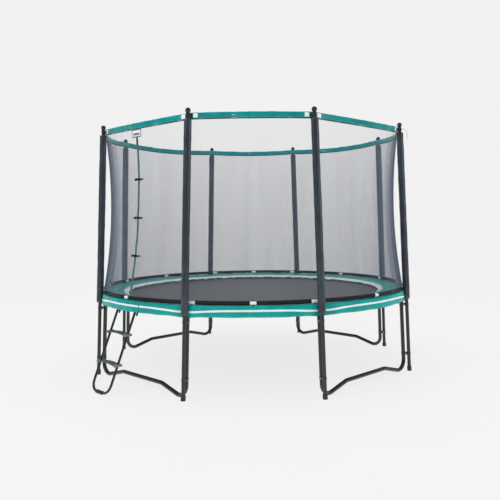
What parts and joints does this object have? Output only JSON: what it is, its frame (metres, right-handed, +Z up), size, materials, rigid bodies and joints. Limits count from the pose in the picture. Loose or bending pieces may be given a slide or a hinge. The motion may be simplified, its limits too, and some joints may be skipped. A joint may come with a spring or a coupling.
{
  "type": "trampoline",
  "caption": "Round garden trampoline with bowed net enclosure on foam-sleeved poles, zip door, padded skirt, W-shaped legs and hook-on ladder.",
  "frame": {"origin": "on the ground under the centre of the mat", "axes": "+Z up; -Y to the front, where the door and ladder are; +X to the right seen from above with the front at the bottom"},
  "size_m": [3.6506, 3.9531, 2.7862],
  "materials": {
    "frame_steel": "satin black powder coat",
    "zinc_steel": "zinc plated",
    "black_plastic": "gloss moulded",
    "black_rubber": "matt",
    "sleeve_fabric": "coated fabric over foam",
    "mat_fabric": "woven polypropylene",
    "black_webbing": "woven webbing",
    "pad_foam": "open foam",
    "teal_vinyl": "coated vinyl",
    "white_vinyl": "reflective white",
    "net_mesh": "fine knitted mesh",
    "glass_fibre": "pultruded rod",
    "tread_plastic": "ribbed moulded",
    "pale_plastic": "moulded"
  },
  "bodies": {
    "frame": {"band_binding": "black_webbing", "band_patches": "white_vinyl", "bottom_band_loops": "white_vinyl", "bottom_rods": "glass_fibre", "bottom_straps": "black_webbing", "clamp_bolts": "zinc_steel", "clamp_nuts": "zinc_steel", "clip_high_receiver": "black_plastic", "clip_low_receiver": "black_plastic", "clip_mid_receiver": "black_plastic", "clip_straps": "black_webbing", "frame_screws": "zinc_steel", "leg_base_back": "frame_steel", "leg_base_front": "frame_steel", "leg_base_left": "frame_steel", "leg_base_right": "frame_steel", "leg_uprights": "frame_steel", "lower_clamp_straps": "zinc_steel", "net_bottom_band": "black_webbing", "net_door_panels": "net_mesh", "net_label": "white_vinyl", "net_top_band": "teal_vinyl", "net_wall_panels": "net_mesh", "pad_cover": "teal_vinyl", "pad_door_flap": "teal_vinyl", "pad_foam": "pad_foam", "pad_inner_border": "white_vinyl", "pad_piping": "white_vinyl", "pad_tie_straps": "black_webbing", "pole_caps": "black_plastic", "pole_foam_sleeves": "sleeve_fabric", "pole_foot_caps": "black_rubber", "pole_lower_tubes": "frame_steel", "pole_upper_tubes": "frame_steel", "ring_arc_back": "frame_steel", "ring_arc_front": "frame_steel", "ring_arc_left": "frame_steel", "ring_arc_right": "frame_steel", "ring_link_arcs": "frame_steel", "springs": "zinc_steel", "top_rods": "glass_fibre", "top_straps": "black_webbing", "upper_clamp_straps": "zinc_steel", "zip_tape_left": "teal_vinyl", "zip_tape_right": "teal_vinyl"},
    "mat": {"mat_bed": "mat_fabric", "mat_webbing": "black_webbing", "mat_v_rings": "zinc_steel"},
    "zip_runner": {"zip_slider": "black_plastic", "zip_pull": "black_plastic"},
    "low_clip": {"clip_low_plug": "black_plastic"},
    "mid_clip": {"clip_mid_plug": "black_plastic"},
    "high_clip": {"clip_high_plug": "black_plastic"},
    "ladder": {"ladder_rails": "frame_steel", "ladder_tread_upper": "tread_plastic", "ladder_tread_lower": "tread_plastic", "ladder_tread_caps": "pale_plastic", "ladder_hooks": "zinc_steel", "ladder_foot": "black_rubber", "ladder_bolts": "zinc_steel"}
  },
  "joints": [
    {"name": "mat_bounce", "type": "slide", "parent": "frame", "child": "mat", "axis": [0, 0, 1], "range_m": [-0.3, 0], "stiffness_N_per_m": 6000, "springref_m": 0.04, "deforming": ["springs"]},
    {"name": "zip_run", "type": "hinge", "parent": "frame", "child": "zip_runner", "pos_m": [0, -7.81051, 2.14705], "axis": [-1, 0, 0], "range_deg": [0, 14.51]},
    {"name": "low_clip_release", "type": "slide", "parent": "frame", "child": "low_clip", "axis": [1, 0, 0], "range_m": [0, 0.03]},
    {"name": "mid_clip_release", "type": "slide", "parent": "frame", "child": "mid_clip", "axis": [1, 0, 0], "range_m": [0, 0.03]},
    {"name": "high_clip_release", "type": "slide", "parent": "frame", "child": "high_clip", "axis": [1, 0, 0], "range_m": [0, 0.03]},
    {"name": "ladder_swing", "type": "hinge", "parent": "frame", "child": "ladder", "pos_m": [-0.04949, -1.77183, 0.844], "axis": [-0.9996, 0.0279, 0], "range_deg": [0, 60], "deforming": ["pad_door_flap"]}
  ]
}
